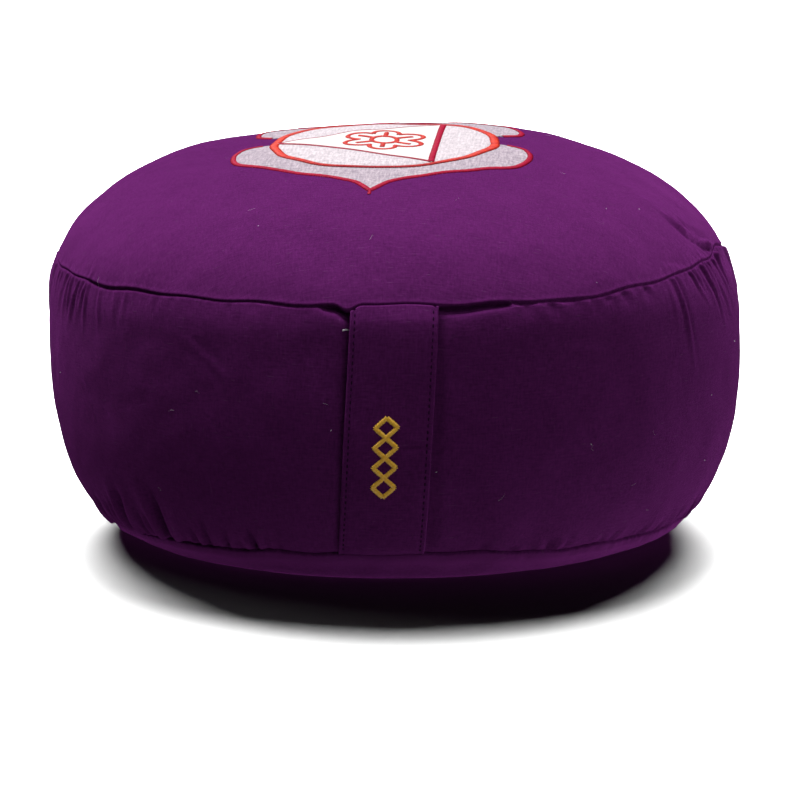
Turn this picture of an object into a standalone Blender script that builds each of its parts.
"""A zafu meditation cushion: a round, firmly filled cotton cushion with a gathered side band, a flat
handle strap at the front, and a two-petalled cloth emblem sewn on its crown.

Metres, +Z up. The origin is the middle of the base, on the floor. The strap faces -Y. A bearing is an
angle round the cushion in degrees, 0 at the front and 90 at the right (+X). A level runs down the cover:
0 is the middle of the crown, 1 the top seam, 2 the bottom seam and 3 the middle of the base.
"""

import math
from collections import namedtuple

import bmesh
import bpy
import numpy as np
from mathutils import Vector

# The filled body
HALF_WIDTH = 0.1700
FULLEST_HEIGHT = 0.1176
CROWN_RISE = 0.0764
CROWN_POWER = 2.24
CROWN_SLOPE = 0.042
BELLY_DROP = 0.1349
BELLY_POWER = 3.61
BASE_ROUNDING = 0.0012
BASE_FLATNESS = 0.0002
BASE_LEVEL = 2.27
PROFILE_STEPS = 3000

# The right shoulder is a little less full than the left
SHOULDER_BEARING = 90
SHOULDER_REACH = 80
SHOULDER_HEIGHT = 0.145
SHOULDER_SPREAD = 0.030
SHOULDER_INSET = 0.0045

# Soft swells and one hollow in the crown, where the filling lies unevenly
Swell = namedtuple("Swell", "x y reach rise")
CROWN_SWELLS = (
    Swell(x=-0.108, y=0.020, reach=0.060, rise=0.0020),
    Swell(x=0.072, y=0.020, reach=0.070, rise=0.0019),
    Swell(x=0.146, y=0.000, reach=0.040, rise=-0.0020),
)
SWELL_FADE = 8

# The two round seams
TOP_SEAM_HEIGHT = 0.1355
TOP_SEAM_RISE = 0.0055
TOP_RISE_BEARING = 75
TOP_RISE_REACH = 50
TOP_SEAM_DEPTH = 0.0018
BOTTOM_SEAM_HEIGHT = 0.0120
BOTTOM_SEAM_RISE = 0.0048
BOTTOM_RISE_BEARING = -5
BOTTOM_RISE_REACH = 60
BOTTOM_SEAM_DEPTH = 0.0028
SEAM_SOFTNESS = 0.0045

# The gathers of the side band
PLEAT_HEIGHT = 0.0011
PLEAT_LENGTH = 0.013
TOP_PLEATS = 44
BOTTOM_PLEATS = 40
PANEL_SHARE = 0.35
LEAST_FULLNESS = 0.45
STRAP_CALM_REACH = 28
TOP_FULL_BEARING = 70
BOTTOM_FULL_BEARING = -55
FULL_REACH = 45
# How the gathers drift apart and together round the seam: waves in one turn, and strength
Drift = namedtuple("Drift", "waves strength")
SLOW_DRIFT = Drift(waves=3, strength=2.3)
QUICK_DRIFT = Drift(waves=7, strength=1.1)
TOP_PHASE = 0
BOTTOM_PHASE = 2
# The band tucks under the top panel just beside the strap
TUCK_DEPTH = 0.0022
TUCK_BEARING = 12
TUCK_REACH = 5

# The handle strap
STRAP_WIDTH = 0.040
STRAP_LEAN = -0.0064
STRAP_THICKNESS = 0.0020
STRAP_GAP = 0.0005

# The emblem on the crown
EMBLEM_CENTRE = (-0.005, -0.019)
EMBLEM_TURN = -4.5
DISC_RADIUS = 0.0533
TRIANGLE_RADIUS = 0.0520
TRIANGLE_SIDE_BEARING = 90
PETAL_INNER_RADIUS = 0.0538
SHEET_THICKNESS = 0.0010
SEWN_GAP = 0.0004
# Half of a petal's outline: degrees from its tip, and distance from the emblem's centre
PETAL_OUTLINE = (
    (0.0, 0.0845),
    (5.0, 0.0760),
    (12.0, 0.0712),
    (22.0, 0.0686),
    (34.0, 0.0685),
    (46.0, 0.0705),
    (62.0, 0.0763),
    (73.0, 0.0750),
    (81.0, 0.0715),
    (86.0, 0.0668),
    (88.5, 0.0600),
)
FRONT_PETAL_REACH = 88.5
BACK_PETAL_REACH = 72.0

# Mesh fineness
COLUMNS = 192
CROWN_LEVELS = (0, 0.20, 0.38, 0.53, 0.66, 0.77, 0.86, 0.93, 0.975)
BAND_LEVELS = (1, 1.025, 1.07, 1.14, 1.25, 1.40, 1.56, 1.72, 1.85, 1.93, 1.975)
UNDER_LEVELS = (2, 2.03, 2.08, 2.13, 2.18, 2.22, BASE_LEVEL)
STRAP_COLUMNS = 8
STRAP_LEVELS = (1.006, 1.025, 1.05, 1.09, 1.16, 1.27, 1.40, 1.53, 1.66, 1.78, 1.87, 1.93, 1.96, 1.98, 1.994)
PETAL_CELLS = (44, 3)
DISC_RINGS = (0, 0.25, 0.5, 0.75, 1)
DISC_COLUMNS = 60
TRIANGLE_RINGS = (0, 0.35, 0.7, 1)
TRIANGLE_COLUMNS = 36
WELD = 0.00001

# Cloth colours: linear red, green and blue, and roughness
PURPLE_COTTON = ((0.085, 0.010, 0.095), 0.88)
STRAP_COTTON = ((0.070, 0.009, 0.080), 0.86)
GREY_COTTON = ((0.520, 0.470, 0.560), 0.84)
WHITE_COTTON = ((0.860, 0.850, 0.840), 0.82)


def rounded_floor(height):
    """Heights eased onto the floor, so that the belly meets it in a small curve and the base is flat."""
    eased = (height + np.sqrt(height**2 + 4 * BASE_ROUNDING**2)) / 2
    return np.where(eased < BASE_FLATNESS, 0, eased)


def turned_profile():
    """Arc length, radius and height down the smooth body, from the crown to the middle of the base."""
    upper = np.linspace(math.pi / 2, 0, PROFILE_STEPS)
    lower = np.linspace(0, math.pi / 2, PROFILE_STEPS)[1:]
    crown_radius = np.cos(upper) ** (2 / CROWN_POWER)
    belly_radius = np.cos(lower) ** (2 / BELLY_POWER)
    crown_height = FULLEST_HEIGHT + CROWN_RISE * np.sin(upper) ** (2 / CROWN_POWER)
    belly_height = FULLEST_HEIGHT - BELLY_DROP * np.sin(lower) ** (2 / BELLY_POWER)
    radius = HALF_WIDTH * np.concatenate([crown_radius, belly_radius])
    height = rounded_floor(np.concatenate([crown_height, belly_height]))
    steps = np.hypot(np.diff(radius), np.diff(height))
    arc = np.concatenate([[0], np.cumsum(steps)])
    return arc, radius, height


ARC, RADIUS, HEIGHT = turned_profile()
OUTWARD = -np.gradient(HEIGHT, ARC)
UPWARD = np.gradient(RADIUS, ARC)


def bump(bearing, middle, reach):
    """1 at the middle bearing, falling smoothly to 0 at its reach on both sides."""
    away = (bearing - middle + 180) % 360 - 180
    if abs(away) >= reach:
        return 0
    return (1 + math.cos(math.pi * away / reach)) / 2


def arc_at_height(height):
    return float(np.interp(-height, -HEIGHT, ARC))


def seam_arcs(bearing):
    """How far down the cover the two seams lie at a bearing."""
    top = TOP_SEAM_HEIGHT + TOP_SEAM_RISE * bump(bearing, TOP_RISE_BEARING, TOP_RISE_REACH)
    bottom = BOTTOM_SEAM_HEIGHT + BOTTOM_SEAM_RISE * bump(bearing, BOTTOM_RISE_BEARING, BOTTOM_RISE_REACH)
    return arc_at_height(top), arc_at_height(bottom)


def pleat_wave(bearing, pleats, phase):
    """Uneven gathers round a seam, between -1 and 1."""
    turn = math.radians(bearing)
    slow = SLOW_DRIFT.strength * math.sin(SLOW_DRIFT.waves * turn + phase)
    quick = QUICK_DRIFT.strength * math.sin(QUICK_DRIFT.waves * turn)
    return math.sin(pleats * turn + slow + quick)


def fullness(bearing, fullest_bearing):
    """How strongly the band is gathered: calm behind the strap, most where the cloth is fullest."""
    calm = 1 - bump(bearing, 0, STRAP_CALM_REACH)
    return calm * (LEAST_FULLNESS + (1 - LEAST_FULLNESS) * bump(bearing, fullest_bearing, FULL_REACH))


def tuck(bearing):
    return TUCK_DEPTH * bump(abs(bearing), TUCK_BEARING, TUCK_REACH)


def seam_relief(distance, depth, pleats):
    """The push at a distance below a seam: a soft groove, with gathers that die out away from it."""
    groove = depth * math.exp(-abs(distance) / SEAM_SOFTNESS)
    return pleats * PLEAT_HEIGHT * math.exp(-abs(distance) / PLEAT_LENGTH) - groove


def relief(bearing, arc, top_arc, bottom_arc):
    """How far the cover stands out from the smooth body."""
    top = fullness(bearing, TOP_FULL_BEARING) * pleat_wave(bearing, TOP_PLEATS, TOP_PHASE)
    bottom = fullness(bearing, BOTTOM_FULL_BEARING) * pleat_wave(bearing, BOTTOM_PLEATS, BOTTOM_PHASE)
    top_depth = TOP_SEAM_DEPTH + tuck(bearing)
    if arc < top_arc:
        top = top * PANEL_SHARE
        top_depth = TOP_SEAM_DEPTH
    if arc > bottom_arc:
        bottom = bottom * PANEL_SHARE
    top_push = seam_relief(arc - top_arc, top_depth, top)
    bottom_push = seam_relief(arc - bottom_arc, BOTTOM_SEAM_DEPTH, bottom)
    return top_push + bottom_push


def cover_point(bearing, level, lift=0.0):
    """A point of the cover, lifted off it along the outward direction."""
    top_arc, bottom_arc = seam_arcs(bearing)
    arc = float(np.interp(level, (0, 1, 2, 3), (0, top_arc, bottom_arc, ARC[-1])))
    radius = np.interp(arc, ARC, RADIUS)
    height = np.interp(arc, ARC, HEIGHT)
    if height > 0:
        lift += relief(bearing, arc, top_arc, bottom_arc)
    radius += lift * np.interp(arc, ARC, OUTWARD)
    height += lift * np.interp(arc, ARC, UPWARD)
    near_shoulder = math.exp(-(((height - SHOULDER_HEIGHT) / SHOULDER_SPREAD) ** 2))
    radius -= SHOULDER_INSET * near_shoulder * bump(bearing, SHOULDER_BEARING, SHOULDER_REACH)
    turn = math.radians(bearing)
    x = radius * math.sin(turn)
    y = -radius * math.cos(turn)
    if height > FULLEST_HEIGHT:
        height += crown_shift(x, y)
    return Vector((x, y, max(height, 0)))


def crown_shift(x, y):
    """How far the crown stands above the turned body: it slopes to the front and is a little uneven."""
    share = min(math.hypot(x, y) / HALF_WIDTH, 1)
    swelling = 0
    for swell in CROWN_SWELLS:
        away = min(math.hypot(x - swell.x, y - swell.y) / swell.reach, 1)
        swelling += swell.rise * (1 + math.cos(math.pi * away)) / 2
    return CROWN_SLOPE * y * (1 - share**2) + swelling * (1 - share**SWELL_FADE)


def crown_height(x, y):
    share = math.hypot(x, y) / HALF_WIDTH
    dome = CROWN_RISE * (1 - share**CROWN_POWER) ** (1 / CROWN_POWER)
    return FULLEST_HEIGHT + dome + crown_shift(x, y)


def crown_point(x, y, lift):
    """A point above the crown, lifted at right angles to it."""
    step = SHEET_THICKNESS
    slope_x = (crown_height(x + step, y) - crown_height(x - step, y)) / (2 * step)
    slope_y = (crown_height(x, y + step) - crown_height(x, y - step)) / (2 * step)
    normal = Vector((-slope_x, -slope_y, 1)).normalized()
    return Vector((x, y, crown_height(x, y))) + lift * normal


def emblem_point(bearing, distance, lift):
    """A point of the emblem, by its bearing and distance from the emblem's own centre."""
    turn = math.radians(bearing + EMBLEM_TURN)
    x = EMBLEM_CENTRE[0] + distance * math.sin(turn)
    y = EMBLEM_CENTRE[1] - distance * math.cos(turn)
    return crown_point(x, y, lift)


def polar_grid(rings, columns):
    """A flat round mesh with its faces up, of rings at the given radii round a middle point."""
    bm = bmesh.new()
    spoke = [bm.verts.new((radius, 0, 0)) for radius in rings]
    edges = [bm.edges.new(pair) for pair in zip(spoke, spoke[1:])]
    bmesh.ops.spin(
        bm, geom=spoke + edges, cent=(0, 0, 0), axis=(0, 0, 1), angle=math.tau, steps=columns
    )
    bmesh.ops.remove_doubles(bm, verts=bm.verts, dist=WELD)
    face_up(bm)
    return bm


def square_grid(cells):
    """A flat mesh of cells with its faces up, from -1 to 1 both ways."""
    bm = bmesh.new()
    bmesh.ops.create_grid(bm, x_segments=cells[0], y_segments=cells[1], size=1)
    face_up(bm)
    return bm


def face_up(bm):
    bm.normal_update()
    downward = [face for face in bm.faces if face.normal.z < 0]
    bmesh.ops.reverse_faces(bm, faces=downward)


def grid_bearing(vertex):
    """The bearing of a vertex of a flat round mesh."""
    return math.degrees(math.atan2(vertex.co.x, -vertex.co.y))


def cloth(name, colour, roughness):
    made = bpy.data.materials.new(name)
    made.use_nodes = True
    shader = made.node_tree.nodes["Principled BSDF"]
    shader.inputs["Base Color"].default_value = (*colour, 1)
    shader.inputs["Roughness"].default_value = roughness
    shader.inputs["Metallic"].default_value = 0
    return made


def add_object(name, bm, collection, made_of):
    mesh = bpy.data.meshes.new(name)
    bm.to_mesh(mesh)
    bm.free()
    mesh.shade_smooth()
    mesh.materials.append(made_of)
    made = bpy.data.objects.new(name, mesh)
    collection.objects.link(made)
    return made


def thicken(sheet, thickness):
    solidify = sheet.modifiers.new("Thickness", "SOLIDIFY")
    solidify.thickness = thickness
    solidify.offset = 1


def make_cushion(collection):
    """The filled body: crown panel, gathered band and bottom panel, closed by its flat base."""
    bm = polar_grid(CROWN_LEVELS + BAND_LEVELS + UNDER_LEVELS, COLUMNS)
    for vertex in bm.verts:
        vertex.co = cover_point(grid_bearing(vertex), vertex.co.length)
    rim = [edge for edge in bm.edges if edge.is_boundary]
    bmesh.ops.holes_fill(bm, edges=rim)
    bmesh.ops.recalc_face_normals(bm, faces=bm.faces)
    add_object("cushion", bm, collection, cloth("purple_cotton", *PURPLE_COTTON))


def make_strap(collection):
    """The handle strap, flat against the band from seam to seam and leaning a little to the left."""
    rows = len(STRAP_LEVELS) - 1
    bm = square_grid((STRAP_COLUMNS, rows))
    for vertex in bm.verts:
        row = round((1 - vertex.co.y) / 2 * rows)
        level = STRAP_LEVELS[row]
        sideways = vertex.co.x * STRAP_WIDTH / 2 + STRAP_LEAN * (level - 1)
        radius = cover_point(0, level).xy.length
        bearing = math.degrees(math.asin(sideways / radius))
        vertex.co = cover_point(bearing, level, STRAP_GAP)
    strap = add_object("handle_strap", bm, collection, cloth("strap_cotton", *STRAP_COTTON))
    thicken(strap, STRAP_THICKNESS)


def petal_radius(bearing, reach):
    """A smooth line through the petal's outline, stretched to the petal's own reach."""
    degrees, radii = zip(*PETAL_OUTLINE)
    place = abs(bearing) * degrees[-1] / reach
    slopes = np.gradient(radii, degrees)
    after = min(int(np.searchsorted(degrees, place, side="right")), len(degrees) - 1)
    before = after - 1
    span = degrees[after] - degrees[before]
    t = (place - degrees[before]) / span
    start = (2 * t**3 - 3 * t**2 + 1) * radii[before] + (t**3 - 2 * t**2 + t) * span * slopes[before]
    end = (3 * t**2 - 2 * t**3) * radii[after] + (t**3 - t**2) * span * slopes[after]
    return start + end


def make_petal(name, tip_bearing, reach, collection, made_of):
    """One petal, from the rim of the disc out to its pointed outline."""
    bm = square_grid(PETAL_CELLS)
    for vertex in bm.verts:
        bearing = vertex.co.x * reach
        outward = (1 - vertex.co.y) / 2
        rim = petal_radius(bearing, reach)
        distance = PETAL_INNER_RADIUS + (rim - PETAL_INNER_RADIUS) * outward
        vertex.co = emblem_point(tip_bearing + bearing, distance, SEWN_GAP)
    thicken(add_object(name, bm, collection, made_of), SHEET_THICKNESS)


def make_disc(collection, made_of):
    bm = polar_grid(DISC_RINGS, DISC_COLUMNS)
    for vertex in bm.verts:
        distance = DISC_RADIUS * vertex.co.length
        vertex.co = emblem_point(grid_bearing(vertex), distance, SEWN_GAP)
    thicken(add_object("disc", bm, collection, made_of), SHEET_THICKNESS)


def triangle_radius(bearing):
    """Distance from the middle to the rim of a triangle of three like sides."""
    third = 360 / 3
    from_side = (bearing - TRIANGLE_SIDE_BEARING + third / 2) % third - third / 2
    return TRIANGLE_RADIUS / 2 / math.cos(math.radians(from_side))


def make_triangle(collection):
    """The white triangle on the disc, with its point to the left."""
    bm = polar_grid(TRIANGLE_RINGS, TRIANGLE_COLUMNS)
    lift = 2 * SEWN_GAP + SHEET_THICKNESS
    for vertex in bm.verts:
        bearing = grid_bearing(vertex)
        distance = triangle_radius(bearing) * vertex.co.length
        vertex.co = emblem_point(bearing, distance, lift)
    triangle = add_object("triangle", bm, collection, cloth("white_cotton", *WHITE_COTTON))
    thicken(triangle, SHEET_THICKNESS)


def main():
    for leftover in list(bpy.data.objects):
        bpy.data.objects.remove(leftover, do_unlink=True)
    collection = bpy.data.collections.new("zafu_cushion")
    bpy.context.scene.collection.children.link(collection)
    make_cushion(collection)
    make_strap(collection)
    grey = cloth("grey_cotton", *GREY_COTTON)
    make_petal("petal_front", 0, FRONT_PETAL_REACH, collection, grey)
    make_petal("petal_back", 180, BACK_PETAL_REACH, collection, grey)
    make_disc(collection, grey)
    make_triangle(collection)


main()
